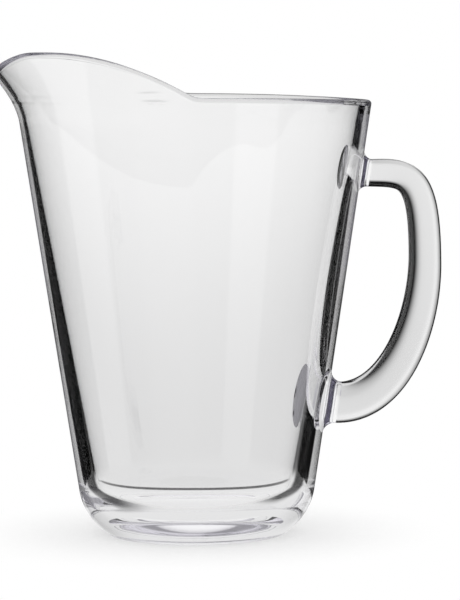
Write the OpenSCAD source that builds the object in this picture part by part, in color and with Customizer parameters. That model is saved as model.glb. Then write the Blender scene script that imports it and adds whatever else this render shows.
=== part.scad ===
// Beer pitcher of clear pressed glass: a thick-walled conical vessel with a raised spout,
// and a solid glass handle that is joined to the wall by a flared weld at each end.
// The foot ring stands on z = 0, the body axis is Z, the spout points to -X and the handle to +X.

/* [Body] */
// Height of the rim above the table, half way from spout to handle
rim_height = 206.5; // [180:0.5:230]
// Depth of the rim's dip at the handle
rim_dip = 2.4; // [0:0.2:5]
// Outer diameter at the rim
rim_diameter = 167.6; // [150:0.2:185]
// Diameter of the outer cone, carried down to the table
cone_diameter = 105; // [96:0.2:114]
// Wall thickness at the rim
rim_wall = 4; // [3:0.1:5.5]
// Wall thickness at the height of the inside floor
floor_wall = 10.5; // [7:0.1:13]
// Distance that the cavity sits off the body axis, towards the spout
cavity_shift = 0.9; // [0:0.1:1.5]
// Height of the inside floor above the table
floor_height = 13.2; // [9:0.2:20]
// Radius of the inside corner between wall and floor
floor_round = 15; // [8:0.5:22]

/* [Base] */
// Radius of the outer bottom corner
base_round = 29; // [18:0.5:32]
// Angle below level at which that corner ends
base_round_end = 55; // [45:0.5:60]
// Outer diameter of the foot ring
foot_diameter = 84; // [76:0.5:86]
// Height of the foot ring
foot_height = 1.5; // [0.8:0.1:3]
// Diameter of the recess under the base
recess_diameter = 63; // [40:1:72]
// Depth of that recess at its middle
recess_depth = 2.2; // [0.5:0.1:5]

/* [Spout] */
// Height of the spout's crest above the rim
spout_rise = 20.7; // [12:0.1:28]
// Distance in front of the body axis at which the edge starts to rise
rise_start = 2.5; // [0:0.5:16]
// Distance in front of the body axis to the crest
crest_distance = 72; // [56:1:80]
// Depth of the pouring lip below the crest
lip_dip = 6.8; // [0:0.1:9]
// Angle from the spout's middle at which that dip ends
dip_angle = 32; // [20:1:44]
// Distance that the pouring lip flares out past the cone
lip_flare = 9.5; // [4:0.5:12]
// Angle from the spout's middle at which the flare ends
flare_angle = 48; // [34:1:60]
// Depth below the rim at which the flare starts
flare_depth = 12; // [8:0.5:18]
// Set-back of the rim and spout above the mould seam
seam_step = 0.1; // [0.08:0.01:0.3]
// Length of the soft start of the rise
rise_blend = 1.2; // [0.6:0.1:5]

/* [Handle] */
// Distance from the rim down to the middle of the handle's upper end
handle_drop = 36.3; // [30:0.1:44]
// Height of the middle of the handle's lower end
handle_bottom = 62; // [54:0.2:72]
// Distance from the body axis to the middle of the handle at its farthest
handle_reach = 108.5; // [102:0.5:116]
// Depth of the handle's section at its upper end
top_depth = 12.9; // [9:0.1:15]
// Depth of the handle's section at its belly
belly_depth = 14.9; // [10:0.1:18]
// Depth of the handle's section at its lower end
bottom_depth = 19.2; // [13:0.2:22]
// Width of the handle at its upper end
top_width = 13; // [9:0.5:18]
// Width of the handle at its lower end
bottom_width = 14; // [10:0.5:20]

/* [Welds] */
// Length of the upper weld, from the wall to the handle
upper_weld_length = 4.5; // [3:0.1:7]
// Distance that the upper weld spreads at the wall
upper_weld_spread = 4; // [2:0.1:6]
// Length of the lower weld, from the wall to the handle
lower_weld_length = 5.5; // [3.5:0.1:8]
// Distance that the lower weld spreads at the wall
lower_weld_spread = 5.5; // [3:0.1:8]

/* [Hidden] */
$fn = 96;

// Curve counts: columns round the rim, levels up the spout, rings along the handle, sides of the welds' seat
rim_columns = 96;
spout_levels = 8;
edge_steps = 6;
corner_steps = 12;
handle_rings = 20;
section_sides = 28;
weld_rings = 6;
seat_sides = 288;

// Shapes of curves, as powers
rise_power = 1.95;
flare_power = 1.8;
section_power = 4.5;

// Pulls of the handle's two curves, as shares of their width or height
top_pull_share = 0.7;
belly_up_pull_share = 1;
belly_down_pull_share = 0.445;
bottom_pull_share = 0.65;
// Height at which the handle is farthest out, as a share of the way from its lower to its upper end
belly_share = 0.619;
// Stretch of the handle over which its section turns from the wall's slope, as a share
turn_share = 0.2;
// Depth to which the edge of a weld bites into the wall, as a share of its spread
bite_share = 0.06;

glass = [0.88, 0.9, 0.94, 0.45];
tinted_glass = [0.76, 0.74, 0.88, 0.6];

// Outer cone
rim_radius = rim_diameter / 2;
cone_radius = cone_diameter / 2;
foot_radius = foot_diameter / 2;
recess_radius = recess_diameter / 2;
cone_slope = (rim_radius - cone_radius) / rim_height;
cone_tilt = atan(cone_slope);
function outer_radius(z) = cone_radius + cone_slope * z;

// Inner cone
floor_radius = outer_radius(floor_height) - floor_wall;
inner_slope = (rim_radius - rim_wall - floor_radius) / (rim_height - floor_height);
inner_tilt = atan(inner_slope);
function inner_radius(z) = floor_radius + inner_slope * (z - floor_height);
function wall(z) = outer_radius(z) - inner_radius(z);

// Radius of the rounded edge of the rim and spout
edge_round = rim_wall / 2;

// Distance that the cut of the cavity runs out past the seam
cut_overrun = rim_wall;

// Height of the mould seam, where the turned body ends and the rim and spout start,
// and the depth to which their root runs on inside the wall
seam_height = rim_height - flare_depth;
seam_root = rim_wall / 4;

// Outer bottom corner, from the cone down to the top of the foot ring
base_middle_z = foot_height + base_round * sin(base_round_end);
base_middle_r = outer_radius(base_middle_z - base_round * sin(cone_tilt)) - base_round * cos(cone_tilt);

// Inner floor corner, tangent to the floor and the inner cone
floor_middle_z = floor_height + floor_round;
floor_middle_r = inner_radius(floor_middle_z) - floor_round / cos(inner_tilt);

// Share of the way from a to b, at step i of n
function between(a, b, i, n) = a + (b - a) * i / n;

// Points of an arc about [r, z], from one angle below level to another
function arc_below(r, z, radius, from, to) = [
    for (i = [0:corner_steps])
        let (a = between(from, to, i, corner_steps))
        [r + radius * cos(a), z - radius * sin(a)]
];

// Half outline of the glass from the seam to the foot, without the cavity
function body_outline() = concat(
    [[0, seam_height], [outer_radius(seam_height), seam_height]],
    arc_below(base_middle_r, base_middle_z, base_round, cone_tilt, base_round_end),
    [[foot_radius, foot_height], [foot_radius, 0]],
    [for (i = [0:corner_steps])
        let (r = between(recess_radius, 0, i, corner_steps))
        [r, recess_depth * (1 - pow(r / recess_radius, 2))]]
);

// Half outline of the cavity, from the floor to past the seam
cut_height = seam_height + cut_overrun;
function cavity_outline() = concat(
    [[0, floor_height]],
    arc_below(floor_middle_r, floor_middle_z, floor_round, 90, inner_tilt),
    [[inner_radius(cut_height), cut_height], [0, cut_height]]
);

// Angle of a column from the middle of the spout, 0 to 180
function spout_angle(column) = abs(180 - 360 * column / rim_columns);

// Bump that falls smoothly from 1 at angle 0 to 0 at the limit
function bump(angle, limit) = angle < limit ? pow(1 - pow(angle / limit, 2), 2) : 0;

// Soft positive part: near zero below 0, near v above it
function soft_positive(v) = (v + sqrt(v * v + rise_blend * rise_blend)) / 2;

// Height of the edge above the rim's middle, at an angle from the middle of the spout
function edge_rise(angle) =
    let (
        x = (rim_radius + cone_slope * spout_rise) * cos(angle),
        u = abs(crest_distance - x) / (crest_distance - rise_start)
    )
    soft_positive(spout_rise * (1 - pow(u, rise_power)))
        - lip_dip * bump(angle, dip_angle)
        - rim_dip * pow(max(0, -cos(angle)), 2);

// Closed section of the rim or spout at a column, as [radius, height] points: from the root up
// the inside, over the rounded edge and down the outside
function edge_section(column) =
    let (
        angle = spout_angle(column),
        flare = lip_flare * bump(angle, flare_angle),
        top = rim_height + edge_rise(angle) - edge_round,
        run = top - seam_height,
        outer = [for (i = [0:spout_levels])
            let (z = between(seam_height, top, i, spout_levels))
            [outer_radius(z) - seam_step + flare * pow(i / spout_levels, flare_power), z]],
        leans = [for (i = [0:spout_levels])
            cone_slope + flare * flare_power * pow(i / spout_levels, flare_power - 1) / run],
        inner = [for (i = [0:spout_levels])
            let (depth = between(wall(seam_height) - 2 * seam_step, rim_wall, i, spout_levels))
            [outer[i][0] - depth * cos(cone_tilt) / cos(atan(leans[i])) + cavity_shift * cos(angle), outer[i][1]]],
        lean = atan(leans[spout_levels]),
        half = (outer[spout_levels][0] - inner[spout_levels][0]) / 2,
        middle = inner[spout_levels][0] + half,
        edge = [for (i = [1:edge_steps - 1])
            let (a = 180 * i / edge_steps, up = edge_round * sin(a))
            [middle - half * cos(a) + up * sin(lean), top + up * cos(lean)]]
    )
    concat(
        [[inner[0][0], seam_height - seam_root]],
        inner,
        edge,
        [for (i = [spout_levels:-1:0]) outer[i]],
        [[outer[0][0] - cone_slope * seam_root, seam_height - seam_root]]
    );

function round_axis(p, angle) = [p[0] * cos(angle), p[0] * sin(angle), p[1]];

// Triangles between two loops of n points each, starting at points a and b
function band(a, b, n) = [
    for (i = [0:n - 1])
        let (j = (i + 1) % n)
        each [[a + i, b + i, b + j], [a + i, b + j, a + j]]
];

// Solid ring swept through closed sections all the way round the axis
module ring_solid(sections) {
    n = len(sections[0]);
    count = len(sections);
    polyhedron(
        points = [for (c = [0:count - 1]) each [for (p = sections[c]) round_axis(p, 360 * c / count)]],
        faces = [for (c = [0:count - 1]) each band(c * n, (c + 1) % count * n, n)],
        convexity = 10
    );
}

// Solid through a row of loops, closed at both ends
module loft_solid(loops) {
    n = len(loops[0]);
    count = len(loops);
    polyhedron(
        points = [for (loop = loops) each loop],
        faces = concat(
            [[for (i = [0:n - 1]) i]],
            [for (c = [0:count - 2]) each band(c * n, (c + 1) * n, n)],
            [[for (i = [n - 1:-1:0]) (count - 1) * n + i]]
        ),
        convexity = 10
    );
}

// Rounded section of the handle: a loop in the plane of Y and a direction up at an angle from Z
function section_loop(middle, tilt, depth, width) = [
    for (i = [0:section_sides - 1])
        let (
            a = 360 * i / section_sides,
            across = width / 2 * sign(cos(a)) * pow(abs(cos(a)), 2 / section_power),
            up = depth / 2 * sign(sin(a)) * pow(abs(sin(a)), 2 / section_power)
        )
        [middle[0] + up * sin(tilt), across, middle[1] + up * cos(tilt)]
];

// Point of the wall at a height, and the point at a distance out along the wall's normal
function off_wall(z, distance) = [
    outer_radius(z) + distance * cos(cone_tilt),
    z - distance * sin(cone_tilt)
];

handle_top = rim_height - handle_drop;
upper_end = off_wall(handle_top, upper_weld_length);
lower_end = off_wall(handle_bottom, lower_weld_length);
belly = [handle_reach, handle_bottom + (handle_top - handle_bottom) * belly_share];

// Control points of the handle's middle line: from the upper end to the belly, and on to the lower end
upper_curve = [
    upper_end,
    upper_end + [(belly[0] - upper_end[0]) * top_pull_share, 0],
    belly + [0, (upper_end[1] - belly[1]) * belly_up_pull_share],
    belly
];
lower_curve = [
    belly,
    belly - [0, (belly[1] - lower_end[1]) * belly_down_pull_share],
    lower_end + [(belly[0] - lower_end[0]) * bottom_pull_share, 0],
    lower_end
];

function curve_point(c, t) =
    pow(1 - t, 3) * c[0] + 3 * t * pow(1 - t, 2) * c[1] + 3 * t * t * (1 - t) * c[2] + pow(t, 3) * c[3];
function curve_way(c, t) =
    pow(1 - t, 2) * (c[1] - c[0]) + 2 * t * (1 - t) * (c[2] - c[1]) + t * t * (c[3] - c[2]);

// Loop of the handle at step i of handle_rings on one of its curves
function handle_loop(curve, i, depths, widths, wall_end) =
    let (
        t = i / handle_rings,
        way = curve_way(curve, t),
        near_end = max(0, 1 - abs(t - wall_end) / turn_share),
        tilt = atan2(abs(way[1]), way[0]) + cone_tilt * near_end
    )
    section_loop(
        curve_point(curve, t),
        tilt,
        between(depths[0], depths[1], i, handle_rings),
        between(widths[0], widths[1], i, handle_rings)
    );

belly_width = (top_width + bottom_width) / 2;

module vessel() {
    color(glass) {
        difference() {
            rotate_extrude() polygon(body_outline());
            translate([-cavity_shift, 0, 0]) rotate_extrude() polygon(cavity_outline());
        }
        ring_solid([for (c = [0:rim_columns - 1]) edge_section(c)]);
    }
}

module handle() {
    color(glass) loft_solid(concat(
        [for (i = [0:handle_rings])
            handle_loop(upper_curve, i, [top_depth, belly_depth], [top_width, belly_width], 0)],
        [for (i = [1:handle_rings])
            handle_loop(lower_curve, i, [belly_depth, bottom_depth], [belly_width, bottom_width], 1)]
    ));
}

// Flared weld from the wall at a height to an end of the handle. Its edge bites into the wall's
// cone, which then cuts it to its seat
module weld(z, length, spread, depth, width) {
    sink = pow(width / 2 + spread, 2) / outer_radius(z);
    bite = spread * bite_share;
    difference() {
        loft_solid(concat(
            [section_loop(off_wall(z, -sink), cone_tilt, depth + 2 * spread, width + 2 * spread)],
            [for (i = [weld_rings:-1:0])
                let (a = 90 * i / weld_rings, grown = 2 * spread * (1 - cos(a)))
                section_loop(
                    off_wall(z, length - (length + bite) * sin(a)), cone_tilt, depth + grown, width + grown
                )]
        ));
        cylinder(h = seam_height, r1 = cone_radius, r2 = outer_radius(seam_height), $fn = seat_sides);
    }
}

module upper_weld() {
    color(tinted_glass) weld(handle_top, upper_weld_length, upper_weld_spread, top_depth, top_width);
}

module lower_weld() {
    color(tinted_glass)
        weld(handle_bottom, lower_weld_length, lower_weld_spread, bottom_depth, bottom_width);
}

vessel();
handle();
upper_weld();
lower_weld();
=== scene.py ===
"""Beer pitcher of clear pressed glass in a white studio.

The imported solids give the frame. The vessel, the handle and the two welds are rebuilt here as fine, smooth
glass in the places of their solids, and each one stands for its solid. Sizes are in millimetres.
"""

import logging
import math
from collections.abc import Sequence
from dataclasses import dataclass, field
from enum import Enum

import bpy
from mathutils import Matrix, Vector


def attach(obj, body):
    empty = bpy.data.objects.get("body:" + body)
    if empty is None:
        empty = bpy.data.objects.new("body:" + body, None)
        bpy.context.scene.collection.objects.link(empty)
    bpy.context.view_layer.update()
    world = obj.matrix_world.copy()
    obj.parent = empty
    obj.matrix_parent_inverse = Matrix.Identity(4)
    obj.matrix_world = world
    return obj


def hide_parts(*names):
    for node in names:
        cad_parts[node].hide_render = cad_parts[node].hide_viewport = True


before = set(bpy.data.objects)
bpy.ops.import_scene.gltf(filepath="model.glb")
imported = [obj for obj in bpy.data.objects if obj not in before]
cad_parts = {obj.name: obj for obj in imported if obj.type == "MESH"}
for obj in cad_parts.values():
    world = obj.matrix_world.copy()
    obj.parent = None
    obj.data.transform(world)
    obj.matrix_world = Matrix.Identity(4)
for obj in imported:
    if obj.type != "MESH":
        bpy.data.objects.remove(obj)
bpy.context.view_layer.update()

LOG = logging.getLogger("pitcher")
MM = 0.001
ROOT_BODY = "root"

Pair = tuple[float, float]
Point = tuple[float, float, float]
Color = tuple[float, float, float, float]

WHITE: Color = (1.0, 1.0, 1.0, 1.0)


def between(start: float, end: float, step: float, count: float) -> float:
    """Return the value a number of equal steps of the way from start to end."""
    return start + (end - start) * step / count


def arc_below(middle: Pair, radius: float, start: float, end: float, steps: int) -> list[Pair]:
    """Points of an arc in a half outline.

    Args:
        middle: Radius and height of the arc's middle.
        radius: Radius of the arc.
        start: First angle below level, in degrees.
        end: Last angle below level, in degrees.
        steps: Number of steps along the arc.

    Returns:
        The radius and height of each point, both ends included.
    """
    angles = [math.radians(between(start, end, i, steps)) for i in range(steps + 1)]
    return [(middle[0] + radius * math.cos(a), middle[1] - radius * math.sin(a)) for a in angles]


def line(start: Pair, end: Pair, steps: int) -> list[Pair]:
    """Points of a straight run in a half outline.

    Args:
        start: Radius and height of the start.
        end: Radius and height of the end.
        steps: Number of steps along the run.

    Returns:
        The radius and height of each point, with the end and without the start.
    """
    return [
        (between(start[0], end[0], i, steps), between(start[1], end[1], i, steps))
        for i in range(1, steps + 1)
    ]


class Face(Enum):
    """The finish number of a face on a glass piece."""

    GLASS = 0
    CONTACT = 1


@dataclass
class LoopMesh:
    """A closed surface that is made of loops of points, bridged one to the next."""

    points: list[Point] = field(default_factory=list)
    faces: list[tuple[int, ...]] = field(default_factory=list)
    kinds: list[int] = field(default_factory=list)
    sharp: set[tuple[int, int]] = field(default_factory=set)

    def loop(self, points: Sequence[Point]) -> int:
        """Add a loop of points.

        Args:
            points: Points in millimetres.

        Returns:
            The number of the loop's first point.
        """
        first = len(self.points)
        self.points.extend((x * MM, y * MM, z * MM) for x, y, z in points)
        return first

    def bridge(self, first: int, second: int, count: int, kind: Face = Face.GLASS) -> None:
        """Join two loops with faces.

        Args:
            first: Number of the first loop's first point.
            second: Number of the second loop's first point.
            count: Number of points in each loop.
            kind: Finish of the faces.
        """
        for i in range(count):
            j = (i + 1) % count
            self.faces.append((first + i, first + j, second + j, second + i))
            self.kinds.append(kind.value)

    def close(self, first: int, count: int, middle: Point, start: bool, kind: Face = Face.GLASS) -> None:
        """Close a loop with a fan of faces.

        Args:
            first: Number of the loop's first point.
            count: Number of points in the loop.
            middle: Point that the fan meets in.
            start: True at the start of the surface, False at its end.
            kind: Finish of the faces.
        """
        tip = self.loop([middle])
        for i in range(count):
            j = (i + 1) % count
            self.faces.append((tip, first + j, first + i) if start else (tip, first + i, first + j))
            self.kinds.append(kind.value)

    def crease(self, first: int, count: int) -> None:
        """Keep the edges of a loop sharp.

        Args:
            first: Number of the loop's first point.
            count: Number of points in the loop.
        """
        for i in range(count):
            pair = (first + i, first + (i + 1) % count)
            self.sharp.add((min(pair), max(pair)))

    def make(self, name: str, materials: Sequence[bpy.types.Material]) -> bpy.types.Object:
        """Make the object.

        Args:
            name: Name of the piece.
            materials: Materials in the order of the face kinds.

        Returns:
            The new object, linked to the scene and shaded smooth.
        """
        mesh = bpy.data.meshes.new(name)
        mesh.from_pydata(self.points, [], self.faces)
        mesh.polygons.foreach_set("material_index", self.kinds)
        mesh.polygons.foreach_set("use_smooth", [True] * len(self.faces))
        for edge in mesh.edges:
            edge.use_edge_sharp = tuple(sorted(edge.vertices)) in self.sharp
        for material in materials:
            mesh.materials.append(material)
        mesh.update()
        piece = bpy.data.objects.new(name, mesh)
        bpy.context.scene.collection.objects.link(piece)
        return piece


class Sock:
    """An output socket that takes part in Python expressions through Math nodes."""

    def __init__(self, sheet: "NodeSheet", socket: bpy.types.NodeSocket) -> None:
        """Wrap a socket of a node sheet."""
        self.sheet = sheet
        self.socket = socket

    def math(self, operation: str, *others: "Sock | float") -> "Sock":
        """Return this value put through a Math node with the other values."""
        return self.sheet.add("ShaderNodeMath", {"operation": operation}, dict(enumerate((self, *others))))

    def __add__(self, other: "Sock | float") -> "Sock":
        """Return the sum."""
        return self.math("ADD", other)

    __radd__ = __add__

    def __sub__(self, other: "Sock | float") -> "Sock":
        """Return the difference."""
        return self.math("SUBTRACT", other)

    def __rsub__(self, other: float) -> "Sock":
        """Return a number less this value."""
        return self.sheet.add("ShaderNodeMath", {"operation": "SUBTRACT"}, {0: other, 1: self})

    def __mul__(self, other: "Sock | float") -> "Sock":
        """Return the product."""
        return self.math("MULTIPLY", other)

    __rmul__ = __mul__

    def __truediv__(self, other: "Sock | float") -> "Sock":
        """Return the quotient."""
        return self.math("DIVIDE", other)

    def __pow__(self, other: "Sock | float") -> "Sock":
        """Return the power."""
        return self.math("POWER", other)

    def __abs__(self) -> "Sock":
        """Return the value without its sign."""
        return self.math("ABSOLUTE")


class NodeSheet:
    """A node tree that is filled by one method."""

    def __init__(self, tree: bpy.types.NodeTree) -> None:
        """Take over a node tree and clear it."""
        self.tree = tree
        tree.nodes.clear()

    def add(
        self,
        kind: str,
        settings: dict[str, object] | None = None,
        sockets: dict[str | int, object] | None = None,
        out: str | int = 0,
    ) -> Sock:
        """Add a node.

        Args:
            kind: Type name of the node.
            settings: Properties that are set before the sockets.
            sockets: Values or links of input sockets, by name or number.
            out: Output socket to return, by name or number.

        Returns:
            The wrapped output socket, or the first input socket where the node has no output.
        """
        node = self.tree.nodes.new(kind)
        for key, value in (settings or {}).items():
            setattr(node, key, value)
        for key, value in (sockets or {}).items():
            if isinstance(value, Sock):
                self.tree.links.new(value.socket, node.inputs[key])
            else:
                node.inputs[key].default_value = value
        return Sock(self, node.outputs[out] if node.outputs else node.inputs[0])

    def fade(self, value: Sock, start: float, end: float, low: float = 1.0, high: float = 0.0) -> Sock:
        """Smooth fade of a value.

        Args:
            value: Value that drives the fade.
            start: Value at which the fade starts.
            end: Value at which it ends.
            low: Result up to the start.
            high: Result past the end.

        Returns:
            The faded value.
        """
        return self.add(
            "ShaderNodeMapRange",
            {"interpolation_type": "SMOOTHSTEP"},
            {"Value": value, "From Min": start, "From Max": end, "To Min": low, "To Max": high},
        )


@dataclass(frozen=True)
class Footprint:
    """The area of the wall that a weld covers, where glass runs into glass."""

    middle: Pair
    tilt: float
    half_width: float
    half_height: float
    power: float

    def mask(self, sheet: NodeSheet) -> Sock:
        """Mask of the footprint, on the handle's side of the body.

        Args:
            sheet: Node sheet of the glass.

        Returns:
            1 inside the footprint and 0 outside.
        """
        place = sheet.add("ShaderNodeTexCoord", out="Object")
        split = sheet.add("ShaderNodeSeparateXYZ", sockets={0: place}).socket.node
        x, y, z = (Sock(sheet, split.outputs[i]) for i in range(3))
        lean = math.radians(self.tilt)
        along = (x - self.middle[0] * MM) * math.sin(lean) + (z - self.middle[1] * MM) * math.cos(lean)
        across = abs(y) / (self.half_width * MM)
        up = abs(along) / (self.half_height * MM)
        inside = (across**self.power + up**self.power).math("LESS_THAN", 1.0)
        return inside * x.math("GREATER_THAN", 0.0)


@dataclass(frozen=True)
class GlassFinish:
    """Clear pressed glass with a faint tint in its depth and a faint ripple on its skin."""

    name: str
    tint: Color = (0.84, 0.83, 0.89, 1.0)
    depth_density: float = 2.0
    index: float = 1.52
    ripple_height: float = 0.02
    ripple_scale: float = 30.0
    ripple_detail: float = 1.0
    haze: float = 0.003
    least_haze_share: float = 0.5

    def skin(self, sheet: NodeSheet) -> Sock:
        """Glass surface with its ripple and haze.

        Args:
            sheet: Node sheet of the glass.

        Returns:
            The shader.
        """
        place = sheet.add("ShaderNodeTexCoord", out="Object")
        ripple = sheet.add(
            "ShaderNodeTexNoise",
            {"noise_dimensions": "3D"},
            {"Vector": place, "Scale": self.ripple_scale, "Detail": self.ripple_detail},
        )
        normal = sheet.add("ShaderNodeBump", sockets={"Distance": self.ripple_height * MM, "Height": ripple})
        return sheet.add(
            "ShaderNodeBsdfPrincipled",
            {"distribution": "GGX"},
            {
                "Base Color": WHITE,
                "Roughness": (self.least_haze_share + ripple) * self.haze,
                "IOR": self.index,
                "Transmission Weight": 1.0,
                "Normal": normal,
            },
        )

    def depth(self, sheet: NodeSheet) -> Sock:
        """Return the tint that the glass takes in its depth."""
        tint = {"Color": self.tint, "Density": self.depth_density}
        return sheet.add("ShaderNodeVolumeAbsorption", sockets=tint)

    def material(self, footprints: Sequence[Footprint] = ()) -> bpy.types.Material:
        """Make the glass.

        Args:
            footprints: Areas where another piece of glass is fused on.

        Returns:
            The material.
        """
        material = bpy.data.materials.new(self.name)
        material.use_nodes = True
        sheet = NodeSheet(material.node_tree)
        surface = self.skin(sheet)
        for footprint in footprints:
            clear = sheet.add("ShaderNodeBsdfTransparent")
            mask = footprint.mask(sheet)
            surface = sheet.add("ShaderNodeMixShader", sockets={0: mask, 1: surface, 2: clear})
        sheet.add("ShaderNodeOutputMaterial", sockets={"Surface": surface, "Volume": self.depth(sheet)})
        return material

    def contact(self) -> bpy.types.Material:
        """Make the face where this glass runs into another piece of glass.

        Returns:
            The material.
        """
        material = bpy.data.materials.new(f"{self.name}_contact")
        material.use_nodes = True
        sheet = NodeSheet(material.node_tree)
        clear = sheet.add("ShaderNodeBsdfTransparent")
        sheet.add("ShaderNodeOutputMaterial", sockets={"Surface": clear, "Volume": self.depth(sheet)})
        return material


VESSEL_GLASS = GlassFinish("vessel_glass")
HANDLE_GLASS = GlassFinish("handle_glass", ripple_height=0.03, haze=0.02)
WELD_GLASS = GlassFinish("weld_glass")


@dataclass
class Cone:
    """The outer cone of the body, which carries the welds."""

    rim_height: float = 206.5
    rim_radius: float = 83.8
    foot_plane_radius: float = 52.5

    @property
    def slope(self) -> float:
        """Return the growth of the radius with height."""
        return (self.rim_radius - self.foot_plane_radius) / self.rim_height

    @property
    def tilt(self) -> float:
        """Return the wall's lean from upright, in degrees."""
        return math.degrees(math.atan(self.slope))

    def radius(self, z: float) -> float:
        """Return the outer radius at a height."""
        return self.foot_plane_radius + self.slope * z

    def off_wall(self, z: float, distance: float) -> Pair:
        """Return the point at a distance out from the wall's line at a height."""
        lean = math.radians(self.tilt)
        return self.radius(z) + distance * math.cos(lean), z - distance * math.sin(lean)


def dress(piece: bpy.types.Object, node: str) -> None:
    """Let a piece ride on the body and stand for its solid, whose part is hidden.

    Args:
        piece: Object of the piece.
        node: Node that the piece stands for.
    """
    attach(piece, ROOT_BODY)
    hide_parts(node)
    LOG.info("%s: %d faces", piece.name, len(piece.data.polygons))


@dataclass
class Vessel:
    """The pressed vessel: base, wall, rim and spout in one piece of glass."""

    cone: Cone
    columns: int = 288
    rim_wall: float = 4.0
    floor_wall: float = 10.5
    cavity_shift: float = 0.9
    floor_height: float = 13.2
    floor_round: float = 15.0
    base_round: float = 29.0
    base_round_end: float = 55.0
    base_edge_round: float = 2.0
    foot_radius: float = 42.0
    foot_height: float = 1.5
    foot_round: float = 0.5
    recess_radius: float = 31.5
    recess_depth: float = 2.2
    rim_dip: float = 2.4
    spout_rise: float = 20.7
    rise_start: float = 2.5
    crest_distance: float = 72.0
    lip_dip: float = 6.8
    dip_angle: float = 32.0
    lip_flare: float = 9.5
    flare_angle: float = 48.0
    flare_depth: float = 12.0
    rise_blend: float = 1.2
    rise_power: float = 1.95
    flare_power: float = 1.8
    mark_height: float = 204.6
    mark_depth: float = 0.05
    mark_half: float = 0.8
    mark_start: Pair = (2.0, 6.0)
    mark_bulge: float = 0.3
    mark_bulge_angle: float = 76.0
    mark_bulge_half: float = 8.0
    recess_rows: int = 12
    foot_rows: int = 4
    foot_arc_rows: int = 5
    ledge_rows: int = 3
    edge_arc_rows: int = 6
    base_arc_rows: int = 26
    wall_rows: int = 60
    rim_rows: int = 72
    rim_arc_rows: int = 16
    corner_rows: int = 18
    floor_rows: int = 9

    @property
    def seam_height(self) -> float:
        """Return the height at which the rim and spout leave the cone."""
        return self.cone.rim_height - self.flare_depth

    @property
    def floor_radius(self) -> float:
        """Return the inner cone's radius at the floor."""
        return self.cone.radius(self.floor_height) - self.floor_wall

    @property
    def inner_slope(self) -> float:
        """Return the growth of the inside radius with height."""
        top = self.cone.rim_radius - self.rim_wall
        return (top - self.floor_radius) / (self.cone.rim_height - self.floor_height)

    def inner_radius(self, z: float) -> float:
        """Return the inside radius at a height."""
        return self.floor_radius + self.inner_slope * (z - self.floor_height)

    def underside(self) -> list[Pair]:
        """Half outline of the underside.

        Returns:
            The radius and height of each point, from near the middle of the recess to the foot of the cone.
        """
        radii = [self.recess_radius * i / self.recess_rows for i in range(1, self.recess_rows + 1)]
        recess = [(r, self.recess_depth * (1 - (r / self.recess_radius) ** 2)) for r in radii]
        foot = (self.foot_radius - self.foot_round, self.foot_round)
        tilt = self.cone.tilt
        turn = math.radians(self.base_round_end)
        middle_z = self.foot_height + self.base_round * math.sin(turn)
        start_z = middle_z - self.base_round * math.sin(math.radians(tilt))
        middle_r = self.cone.radius(start_z) - self.base_round * math.cos(math.radians(tilt))
        inset = self.base_round - self.base_edge_round
        edge = (middle_r + inset * math.cos(turn), middle_z - inset * math.sin(turn))
        ledge_z = edge[1] - self.base_edge_round
        notch = (self.foot_radius + self.foot_round, ledge_z - self.foot_round)
        return [
            *recess,
            *line((self.recess_radius, 0.0), (foot[0], 0.0), self.foot_rows)[:-1],
            *arc_below(foot, self.foot_round, 90, 0, self.foot_arc_rows),
            *arc_below(notch, self.foot_round, 180, 270, self.foot_arc_rows),
            *line((notch[0], ledge_z), (edge[0], ledge_z), self.ledge_rows)[:-1],
            *arc_below(edge, self.base_edge_round, 90, self.base_round_end, self.edge_arc_rows)[:-1],
            *arc_below((middle_r, middle_z), self.base_round, self.base_round_end, tilt, self.base_arc_rows),
        ]

    def inside_floor(self) -> list[Pair]:
        """Half outline of the inside's bottom.

        Returns:
            The radius and height of each point, from the wall over the corner to near the floor's middle.
        """
        tilt = math.degrees(math.atan(self.inner_slope))
        middle_z = self.floor_height + self.floor_round
        middle_r = self.inner_radius(middle_z) - self.floor_round / math.cos(math.radians(tilt))
        corner = arc_below((middle_r, middle_z), self.floor_round, tilt, 90, self.corner_rows)
        return [*corner, *line(corner[-1], (0.0, self.floor_height), self.floor_rows)[:-1]]

    def bump(self, angle: float, limit: float) -> float:
        """Return a smooth bump, 1 at angle 0 and 0 past the limit."""
        return (1 - (angle / limit) ** 2) ** 2 if angle < limit else 0.0

    def edge_rise(self, angle: float) -> float:
        """Height of the edge above the rim's middle.

        Args:
            angle: Angle from the spout's middle, in degrees.

        Returns:
            The height.
        """
        x = (self.cone.rim_radius + self.cone.slope * self.spout_rise) * math.cos(math.radians(angle))
        u = abs(self.crest_distance - x) / (self.crest_distance - self.rise_start)
        rise = self.spout_rise * (1 - u**self.rise_power)
        soft = (rise + math.hypot(rise, self.rise_blend)) / 2
        back = max(0.0, -math.cos(math.radians(angle)))
        return soft - self.lip_dip * self.bump(angle, self.dip_angle) - self.rim_dip * back**2

    def mark(self, angle: float) -> float:
        """Depth of the mould mark across the spout.

        Args:
            angle: Angle from the spout's middle, in degrees.

        Returns:
            The depth, which is below 0 where the mark bulges out.
        """
        start, end = self.mark_start
        share = min(1.0, max(0.0, (self.edge_rise(angle) - start) / (end - start)))
        bulge = self.bump(abs(angle - self.mark_bulge_angle), self.mark_bulge_half)
        return self.mark_depth * share - self.mark_bulge * bulge

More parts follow.
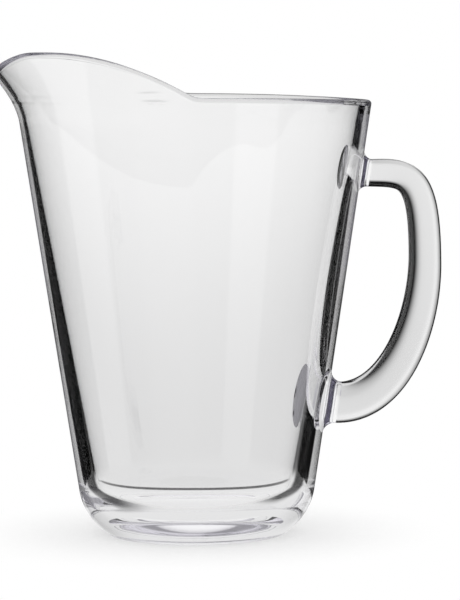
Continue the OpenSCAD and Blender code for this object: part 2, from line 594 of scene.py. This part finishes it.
    def rim_section(self, angle: float) -> list[Pair]:
        """Points of the rim or spout, up the outside, over the rounded edge and down the inside.

        Args:
            angle: Angle from the spout's middle, in degrees.

        Returns:
            The radius and height of each point.
        """
        levels, edge_steps = self.rim_rows, self.rim_arc_rows
        flare = self.lip_flare * self.bump(angle, self.flare_angle)
        edge_round = self.rim_wall / 2
        top = self.cone.rim_height + self.edge_rise(angle) - edge_round
        run = top - self.seam_height
        mark = self.mark(angle)
        seam_wall = self.cone.radius(self.seam_height) - self.inner_radius(self.seam_height)
        outer, inner = [], []
        lean = 0.0
        for i in range(1, levels + 1):
            t = i / levels
            z = between(self.seam_height, top, i, levels)
            r = self.cone.radius(z) + flare * t**self.flare_power
            lean = math.atan(self.cone.slope + flare * self.flare_power * t ** (self.flare_power - 1) / run)
            depth = between(seam_wall, self.rim_wall, i, levels) * math.cos(math.radians(self.cone.tilt))
            off_mark = (z - self.mark_height) / self.mark_half
            outer.append((r - mark * math.exp(-(off_mark**2)), z))
            inner.append((r - depth / math.cos(lean), z))
        half = (outer[-1][0] - inner[-1][0]) / 2
        middle = inner[-1][0] + half
        edge = []
        for i in range(1, edge_steps):
            a = math.pi * i / edge_steps
            up = edge_round * math.sin(a)
            edge.append((middle + half * math.cos(a) + up * math.sin(lean), top + up * math.cos(lean)))
        return [*outer, *edge, *reversed(inner)]

    def outline(self, angle: float) -> list[Pair]:
        """Half outline of the vessel.

        Args:
            angle: Angle from the spout's middle, in degrees.

        Returns:
            The radius and height of each point, from the recess to the inside floor.
        """
        below, floor = self.underside(), self.inside_floor()
        seam = self.seam_height
        return [
            *below,
            *line(below[-1], (self.cone.radius(seam), seam), self.wall_rows),
            *self.rim_section(angle),
            *line((self.inner_radius(seam), seam), floor[0], self.wall_rows)[:-1],
            *floor,
        ]

    def build(self, footprints: Sequence[Footprint]) -> bpy.types.Object:
        """Build the vessel.

        Args:
            footprints: Areas of the wall that the welds cover.

        Returns:
            The vessel's object.
        """
        turns = [360 * c / self.columns for c in range(self.columns)]
        outlines = [self.outline(abs(180 - turn)) for turn in turns]
        inside = len(self.underside()) + self.wall_rows + self.rim_rows
        mesh = LoopMesh()
        previous = 0
        for row in range(len(outlines[0])):
            loop = []
            shift = self.cavity_shift * min(1.0, max(0.0, (row - inside) / self.rim_arc_rows))
            for turn, outline in zip(turns, outlines):
                r, z = outline[row]
                a = math.radians(turn)
                loop.append((r * math.cos(a) - shift, r * math.sin(a), z))
            first = mesh.loop(loop)
            if row == 0:
                mesh.close(first, self.columns, (0.0, 0.0, self.recess_depth), start=True)
            else:
                mesh.bridge(previous, first, self.columns)
            previous = first
        mesh.close(previous, self.columns, (-self.cavity_shift, 0.0, self.floor_height), start=False)
        return mesh.make("pitcher_vessel", [VESSEL_GLASS.material(footprints)])


@dataclass
class Section:
    """The section of the handle: well rounded on the side of the fingers and nearly square on the outside."""

    sides: int = 96
    inner_power: float = 3.5
    outer_power: float = 8.0
    wall_power: float = 2.2

    def offsets(self, depth: float, width: float, melt: float = 0.0) -> list[Pair]:
        """Points of the section.

        Args:
            depth: Size from the inner to the outer side.
            width: Size across.
            melt: Share of the way to the round shape at the wall.

        Returns:
            How far each point lies across the handle and out from its middle line.
        """
        pairs = []
        for i in range(self.sides):
            a = 2 * math.pi * i / self.sides
            c, s = math.cos(a), math.sin(a)
            power = between(self.outer_power if s > 0 else self.inner_power, self.wall_power, melt, 1)
            across = math.copysign(abs(c) ** (2 / power), c) * width / 2
            out = math.copysign(abs(s) ** (2 / power), s) * depth / 2
            pairs.append((across, out))
        return pairs

    def loop(self, middle: Pair, tilt: float, depth: float, width: float) -> list[Point]:
        """Flat loop about a point.

        Args:
            middle: Place of the point along X and Z.
            tilt: Angle of the loop's out direction from upright, in degrees.
            depth: Size from the inner to the outer side.
            width: Size across.

        Returns:
            The points of the loop.
        """
        lean = math.radians(tilt)
        return [
            (middle[0] + out * math.sin(lean), across, middle[1] + out * math.cos(lean))
            for across, out in self.offsets(depth, width)
        ]


@dataclass
class Weld:
    """A flared gather of glass that fuses an end of the handle to the wall."""

    name: str
    node: str
    cone: Cone
    section: Section
    height: float
    length: float
    spread: float
    depth: float
    width: float
    flip: float = 1.0
    rings: int = 24
    wall_rings: int = 5
    wall_passes: int = 6

    @property
    def end(self) -> Pair:
        """Return the middle of the face that meets the handle."""
        return self.cone.off_wall(self.height, self.length)

    @property
    def footprint(self) -> Footprint:
        """Area of the wall that the weld covers.

        Returns:
            The footprint.
        """
        return Footprint(
            self.cone.off_wall(self.height, 0.0),
            self.cone.tilt,
            self.width / 2 + self.spread,
            self.depth / 2 + self.spread,
            self.section.wall_power,
        )

    def offsets(self, grown: float) -> list[Pair]:
        """Return the section's points across and up the wall, with the section grown on all sides."""
        pairs = self.section.offsets(self.depth + 2 * grown, self.width + 2 * grown, grown / self.spread)
        return [(across * self.flip, out * self.flip) for across, out in pairs]

    def fall_back(self, across: float, up: float) -> float:
        """Fall of the round wall behind its flat tangent at a place of the weld.

        Args:
            across: Distance across the handle.
            up: Distance up the wall.

        Returns:
            The distance.
        """
        lean = math.radians(self.cone.tilt)
        x0, z0 = self.cone.off_wall(self.height, 0.0)
        x, z = x0 + up * math.sin(lean), z0 + up * math.cos(lean)
        back = 0.0
        for _ in range(self.wall_passes):
            gap = math.hypot(x - back * math.cos(lean), across) - self.cone.radius(z + back * math.sin(lean))
            back += gap * math.cos(lean)
        return back

    def place(self, across: float, up: float, out: float, hug: float) -> Point:
        """Point of the weld.

        Args:
            across: Distance across the handle.
            up: Distance up the wall.
            out: Distance out from the wall's tangent.
            hug: Share of the wall's fall that the point follows.

        Returns:
            The point.
        """
        lean = math.radians(self.cone.tilt)
        x0, z0 = self.cone.off_wall(self.height, out - hug * self.fall_back(across, up))
        return x0 + up * math.sin(lean), across, z0 + up * math.cos(lean)

    def build(self) -> bpy.types.Object:
        """Build the weld from the wall out to the handle.

        Returns:
            The object.
        """
        mesh, count = LoopMesh(), self.section.sides
        full = self.offsets(self.spread)
        previous = -1
        for i in range(1, self.wall_rings):
            share = i / self.wall_rings
            first = mesh.loop([self.place(a * share, u * share, 0.0, 1.0) for a, u in full])
            if previous < 0:
                mesh.close(first, count, self.place(0.0, 0.0, 0.0, 1.0), start=True, kind=Face.CONTACT)
            else:
                mesh.bridge(previous, first, count, Face.CONTACT)
            previous = first
        for i in range(self.rings, -1, -1):
            a = math.pi / 2 * i / self.rings
            pairs = self.offsets(self.spread * (1 - math.cos(a)))
            out = self.length * (1 - math.sin(a))
            first = mesh.loop([self.place(x, u, out, math.sin(a)) for x, u in pairs])
            mesh.bridge(previous, first, count, Face.CONTACT if i == self.rings else Face.GLASS)
            if i == self.rings:
                mesh.crease(first, count)
            previous = first
        mesh.crease(previous, count)
        x, z = self.end
        mesh.close(previous, count, (x, 0.0, z), start=False, kind=Face.CONTACT)
        return mesh.make(self.name, [WELD_GLASS.material(), WELD_GLASS.contact()])


@dataclass
class Handle:
    """The solid D-shaped handle between the two welds."""

    upper: Weld
    lower: Weld
    section: Section
    reach: float = 108.5
    belly_depth: float = 14.9
    belly_share: float = 0.619
    rings: int = 90
    top_pull_share: float = 0.7
    belly_up_pull_share: float = 1.0
    belly_down_pull_share: float = 0.445
    bottom_pull_share: float = 0.65
    turn_share: float = 0.2

    def curves(self) -> tuple[list[Vector], list[Vector]]:
        """Control points of the middle line.

        Returns:
            The points of its upper and of its lower curve, from the top to the bottom.
        """
        top, bottom = Vector(self.upper.end), Vector(self.lower.end)
        belly = Vector((self.reach, between(self.lower.height, self.upper.height, self.belly_share, 1)))
        right, up = Vector((1.0, 0.0)), Vector((0.0, 1.0))
        first = [
            top,
            top + right * (belly.x - top.x) * self.top_pull_share,
            belly + up * (top.y - belly.y) * self.belly_up_pull_share,
            belly,
        ]
        second = [
            belly,
            belly - up * (belly.y - bottom.y) * self.belly_down_pull_share,
            bottom + right * (belly.x - bottom.x) * self.bottom_pull_share,
            bottom,
        ]
        return first, second

    def ring(self, curve: list[Vector], t: float, sizes: Pair, wall_end: float) -> list[Point]:
        """Loop of points round the handle.

        Args:
            curve: Control points of the curve.
            t: Share of the way along it.
            sizes: Depth and width of the section there.
            wall_end: Share at which the curve meets the wall.

        Returns:
            The points of the loop.
        """
        c0, c1, c2, c3 = curve
        s = 1 - t
        middle = c0 * s**3 + c1 * 3 * t * s**2 + c2 * 3 * t**2 * s + c3 * t**3
        way = (c1 - c0) * s**2 + (c2 - c1) * 2 * t * s + (c3 - c2) * t**2
        near_wall = max(0.0, 1 - abs(t - wall_end) / self.turn_share)
        tilt = math.degrees(math.atan2(abs(way.y), way.x)) + self.upper.cone.tilt * near_wall
        return self.section.loop((middle.x, middle.y), tilt, *sizes)

    def build(self) -> bpy.types.Object:
        """Build the handle from its upper to its lower end.

        Returns:
            The object.
        """
        mesh, count = LoopMesh(), self.section.sides
        belly_width = (self.upper.width + self.lower.width) / 2
        first_curve, second_curve = self.curves()
        loops = []
        for i in range(self.rings + 1):
            sizes = (
                between(self.upper.depth, self.belly_depth, i, self.rings),
                between(self.upper.width, belly_width, i, self.rings),
            )
            loops.append(self.ring(first_curve, i / self.rings, sizes, 0.0))
        for i in range(1, self.rings + 1):
            sizes = (
                between(self.belly_depth, self.lower.depth, i, self.rings),
                between(belly_width, self.lower.width, i, self.rings),
            )
            loops.append(self.ring(second_curve, i / self.rings, sizes, 1.0))
        previous = mesh.loop(loops[0])
        x, z = self.upper.end
        mesh.close(previous, count, (x, 0.0, z), start=True, kind=Face.CONTACT)
        mesh.crease(previous, count)
        for loop in loops[1:]:
            first = mesh.loop(loop)
            mesh.bridge(previous, first, count)
            previous = first
        mesh.crease(previous, count)
        x, z = self.lower.end
        mesh.close(previous, count, (x, 0.0, z), start=False, kind=Face.CONTACT)
        return mesh.make("pitcher_handle", [HANDLE_GLASS.material(), HANDLE_GLASS.contact()])


@dataclass
class Studio:
    """White studio: a pale floor, a light world with dark gaps behind the glass, and the camera."""

    photo_size: Pair = (460.0, 600.0)
    pixel: float = 0.47
    axis_pixel: Pair = (195.39, 534.26)
    distance: float = 1500.0
    eye: Pair = (-50.0, 227.0)
    roll: float = -0.361
    sensor: float = 36.0
    bounces: int = 96
    clear_bounces: int = 24
    floor_radius: float = 420.0
    floor_sides: int = 96
    shadow: float = 0.4
    shadow_reach: Pair = (50.0, 120.0)
    # Levels of the painted glow and the painted shadow that rays through the glass see on the floor.
    seen_light: float = 0.79
    seen_dark: float = 0.02
    # Band of painted shadow on either side of the base, as rays through the glass see the floor.
    painted_shadow_middle: float = 4.0
    painted_shadow_near: Pair = (54.0, 0.6)
    painted_shadow_far: Pair = (81.0, 0.9)
    painted_shadow_soft: float = 6.0
    painted_shadow_front: Pair = (-45.0, -16.0)
    back_line: Pair = (62.0, -0.07)
    back_line_half: Pair = (3.0, 7.0)
    back_line_facing: Pair = (0.68, 0.78)
    open_back: Pair = (66.0, 72.0)
    open_reach: Pair = (112.0, 130.0)
    lobes: Point = (2.0, -90.0, 135.0)
    lobe_half: Pair = (19.5, 25.0)
    squeeze_start: Pair = (-9.5, -12.0)
    squeeze: float = 1.4
    side_half: Pair = (43.0, 50.0)
    side: float = 0.18
    flag_top: Pair = (-3.0, 1.0)
    over_flags: float = 0.85
    under_start: Pair = (-27.0, -37.0)
    under: float = 0.9
    table_start: Pair = (-2.5, -9.5)
    table_shade: float = 0.77
    ceiling_start: Pair = (22.0, 40.0)
    ceiling: Color = (0.80, 0.785, 0.83, 1.0)
    plain_half: Pair = (0.0, 21.0)
    plain_top: Pair = (4.0, 13.0)
    plain: float = 0.93
    dark: float = 0.003
    one_wall: float = 3.5
    straight_turns: float = 1.5
    echo_turns: Pair = (4.0, 0.5)
    echo: float = 0.03
    edge_start: Pair = (-32.0, -46.0)
    edge: float = 0.25
    piped_turns: Pair = (9.0, 14.0)
    piped: float = 0.4
    gloss: float = 0.08

    def camera(self) -> bpy.types.Object:
        """Place the camera at the photograph's angle.

        Returns:
            The camera.
        """
        data = bpy.data.cameras.new("camera")
        data.sensor_width = self.sensor
        data.lens = data.sensor_width * self.distance / (self.pixel * self.photo_size[1])
        target = Vector((
            (self.photo_size[0] / 2 - self.axis_pixel[0]) * self.pixel,
            0.0,
            (self.axis_pixel[1] - self.photo_size[1] / 2) * self.pixel,
        ))
        eye = Vector((self.eye[0], -self.distance, self.eye[1]))
        turn = (target - eye).to_track_quat("-Z", "Y").to_matrix().to_4x4()
        turn = turn @ Matrix.Rotation(math.radians(self.roll), 4, "Z")
        camera = bpy.data.objects.new("camera", data)
        camera.matrix_world = Matrix.Translation(eye * MM) @ turn
        bpy.context.scene.collection.objects.link(camera)
        bpy.context.scene.camera = camera
        return camera

    def floor(self) -> bpy.types.Object:
        """Make the pale floor that keeps the shadow.

        Returns:
            The floor.
        """
        mesh, count = LoopMesh(), self.floor_sides
        loops = [
            [(r * math.cos(a), r * math.sin(a), 0.0) for a in (2 * math.pi * i / count for i in range(count))]
            for r in (self.floor_radius / 2, self.floor_radius)
        ]
        inner = mesh.loop(loops[0])
        mesh.close(inner, count, (0.0, 0.0, 0.0), start=False)
        mesh.bridge(mesh.loop(loops[1]), inner, count)
        material = bpy.data.materials.new("floor_white")
        material.use_nodes = True
        sheet = NodeSheet(material.node_tree)
        place = sheet.add("ShaderNodeTexCoord", out="Object")
        reach = sheet.add("ShaderNodeVectorMath", {"operation": "LENGTH"}, {0: place}, out="Value") / MM
        matt_share = sheet.fade(reach, *self.shadow_reach, self.shadow, 0.0)
        matt = sheet.add("ShaderNodeBsdfDiffuse", sockets={"Color": matt_share})
        glow = sheet.add("ShaderNodeEmission", sockets={"Strength": 1.0 - matt_share})
        plain = sheet.add("ShaderNodeAddShader", sockets={0: matt, 1: glow})
        # Rays through the glass and reflections see the floor's painted glow and painted shadow, not its lit
        # surface.
        seen = self.floor_in_glass(sheet, place, reach)
        path = sheet.add("ShaderNodeLightPath", out="Is Transmission Ray")
        bent = path.math("MAXIMUM", Sock(sheet, path.socket.node.outputs["Is Glossy Ray"]))
        surface = sheet.add("ShaderNodeMixShader", sockets={0: bent, 1: plain, 2: seen})
        sheet.add("ShaderNodeOutputMaterial", sockets={"Surface": surface})
        floor = mesh.make("studio_floor", [material])
        return floor

    def floor_in_glass(self, sheet: NodeSheet, place: Sock, reach: Sock) -> Sock:
        """Painted glow and painted shadow of the floor, as rays through the glass or reflections meet it.

        Args:
            sheet: Node sheet of the floor.
            place: Place on the floor.
            reach: Distance from the axis, in millimetres.

        Returns:
            The shader: painted glow under the base, with painted shadow in a band on either side and a dark
                line behind it.
        """
        split = sheet.add("ShaderNodeSeparateXYZ", sockets={0: place}).socket.node
        x, y = (Sock(sheet, split.outputs[i]) / MM for i in range(2))
        # Painted shadow in a band on either side of the base, seen only by rays through one wall.
        side = abs(x - self.painted_shadow_middle)
        soft = self.painted_shadow_soft
        gap = sheet.fade(side - (self.painted_shadow_near[0] + y * self.painted_shadow_near[1]), -soft, soft, 0.0, 1.0)
        gap = gap * sheet.fade(side - (self.painted_shadow_far[0] + y * self.painted_shadow_far[1]), -soft, soft)
        gap = gap * sheet.fade(y, *self.painted_shadow_front, 0.0, 1.0)
        # Dark line on the floor behind the base, seen only by rays that pass through both walls and head
        # back.
        off_line = abs(y - (self.back_line[0] + x * self.back_line[1]))
        depth = sheet.add("ShaderNodeLightPath", out="Transmission Depth")
        both = depth.math("GREATER_THAN", self.one_wall)
        incoming = sheet.add("ShaderNodeNewGeometry", out="Incoming")
        facing = sheet.add("ShaderNodeSeparateXYZ", sockets={0: incoming}, out="Y") * -1.0
        line_seen = both * sheet.fade(facing, *self.back_line_facing, 0.0, 1.0)
        dark = gap * (1.0 - both) + sheet.fade(off_line, *self.back_line_half) * line_seen
        glow = sheet.add("ShaderNodeEmission", sockets={
            "Strength": self.seen_light - dark * (self.seen_light - self.seen_dark)
        })
        clear = sheet.add("ShaderNodeBsdfTransparent")
        behind = sheet.fade(y, *self.open_back, 0.0, 1.0)
        past = behind.math("MAXIMUM", sheet.fade(reach, *self.open_reach, 0.0, 1.0))
        return sheet.add("ShaderNodeMixShader", sockets={0: past, 1: glow, 2: clear})

    def backlight(self, sheet: NodeSheet, both: Sock, single: Sock, plain: Sock) -> tuple[Sock, Sock]:
        """Light that rays through the glass meet.

        Args:
            sheet: Node sheet of the world.
            both: 1 for a ray that has gone through both walls, else 0.
            single: 1 for a ray that has gone straight through one wall, else 0.
            plain: 1 for a ray that comes out of the handle's softer glass, else 0.

        Returns:
            The strength, with white fields and dark gaps between them, and the share of the ceiling's color.
        """
        way = sheet.add("ShaderNodeTexCoord", out="Generated")
        split = sheet.add("ShaderNodeSeparateXYZ", sockets={0: way}).socket.node
        x, y, z = (Sock(sheet, split.outputs[i]) for i in range(3))
        degrees = 180.0 / math.pi
        turn = x.math("ARCTAN2", y) * degrees
        rise = z.math("ARCSINE") * degrees
        squeeze = sheet.fade(rise, *self.squeeze_start, 1.0, self.squeeze)
        off_fields = [(turn - middle).math("PINGPONG", 180.0) for middle in self.lobes]
        off_field = off_fields[0].math("MINIMUM", off_fields[1]).math("MINIMUM", off_fields[2])
        level_field = sheet.fade(off_field * squeeze, *self.lobe_half)
        level_field = level_field + sheet.fade(off_field, *self.side_half, 0.0, self.side)
        high = sheet.fade(rise, *self.ceiling_start, 0.0, 1.0)
        lit = self.dark + level_field * (1.0 - self.dark)
        lit = lit + (1.0 - lit) * sheet.fade(rise, *self.flag_top, 0.0, self.over_flags)
        lit = lit + (self.under - lit) * sheet.fade(rise, *self.under_start, 0.0, 1.0)
        lit = lit + (1.0 - lit) * both
        lit = lit + (sheet.fade(rise, *self.edge_start, 1.0, self.edge) - lit) * single
        straight = sheet.fade(off_field, *self.plain_half, self.plain, 0.0)
        straight = straight * sheet.fade(rise, *self.plain_top)
        straight = straight + (self.under - straight) * sheet.fade(rise, *self.under_start, 0.0, 1.0)
        lit = lit + (straight - lit) * plain
        shade = sheet.fade(rise, *self.table_start, 1.0, self.table_shade)
        high = high * (1.0 - plain)
        return lit * shade * (1.0 - high) + high, high

    def world(self) -> bpy.types.World:
        """Make the studio's light.

        Returns:
            The world.
        """
        world = bpy.data.worlds.new("studio")
        world.use_nodes = True
        sheet = NodeSheet(world.node_tree)
        path = sheet.add("ShaderNodeLightPath", out="Is Transmission Ray")
        shiny = Sock(sheet, path.socket.node.outputs["Is Glossy Ray"])
        depth = Sock(sheet, path.socket.node.outputs["Transmission Depth"])
        turns = Sock(sheet, path.socket.node.outputs["Ray Depth"]) - depth
        singular = Sock(sheet, path.socket.node.outputs["Is Singular Ray"])
        plain = (1.0 - singular) * depth.math("LESS_THAN", self.one_wall)
        both = depth.math("GREATER_THAN", self.one_wall)
        single = turns.math("LESS_THAN", self.straight_turns) * (1.0 - both)
        light, high = self.backlight(sheet, both, single, plain)
        second_echo = turns.math("COMPARE", *self.echo_turns)
        light = light * (1.0 - second_echo * (1.0 - both) * (1.0 - self.echo))
        light = light * sheet.fade(turns, *self.piped_turns, 1.0, self.piped)
        bent = path.math("MAXIMUM", shiny)
        color = sheet.add(
            "ShaderNodeMix",
            {"data_type": "RGBA"},
            {"Factor": high * bent, 6: WHITE, 7: self.ceiling},
            out=2,
        )
        strength = 1.0 + bent * (light * (path + (1.0 - path) * self.gloss) - 1.0)
        background = sheet.add("ShaderNodeBackground", sockets={"Color": color, "Strength": strength})
        sheet.add("ShaderNodeOutputWorld", sockets={"Surface": background})
        bpy.context.scene.world = world
        return world

    def build(self) -> None:
        """Build the camera, the floor and the light."""
        scene = bpy.context.scene
        scene.view_settings.view_transform = "Standard"
        scene.cycles.max_bounces = self.bounces
        scene.cycles.transmission_bounces = self.bounces
        scene.cycles.glossy_bounces = self.bounces
        scene.cycles.transparent_max_bounces = self.clear_bounces
        self.camera()
        self.floor()
        self.world()


def main() -> None:
    """Build the studio and the pitcher."""
    logging.basicConfig(level=logging.INFO, format="%(name)s: %(message)s")
    Studio().build()
    cone, section = Cone(), Section()
    upper = Weld(
        "pitcher_upper_weld",
        "upper_weld",
        cone,
        section,
        height=170.2,
        length=4.5,
        spread=4.0,
        depth=12.9,
        width=13.0,
    )
    lower = Weld(
        "pitcher_lower_weld",
        "lower_weld",
        cone,
        section,
        height=62.0,
        length=5.5,
        spread=5.5,
        depth=19.2,
        width=14.0,
        flip=-1.0,
    )
    dress(Vessel(cone).build([upper.footprint, lower.footprint]), "vessel")
    dress(Handle(upper, lower, section).build(), "handle")
    for weld in (upper, lower):
        dress(weld.build(), weld.node)


if __name__ == "__main__":
    main()
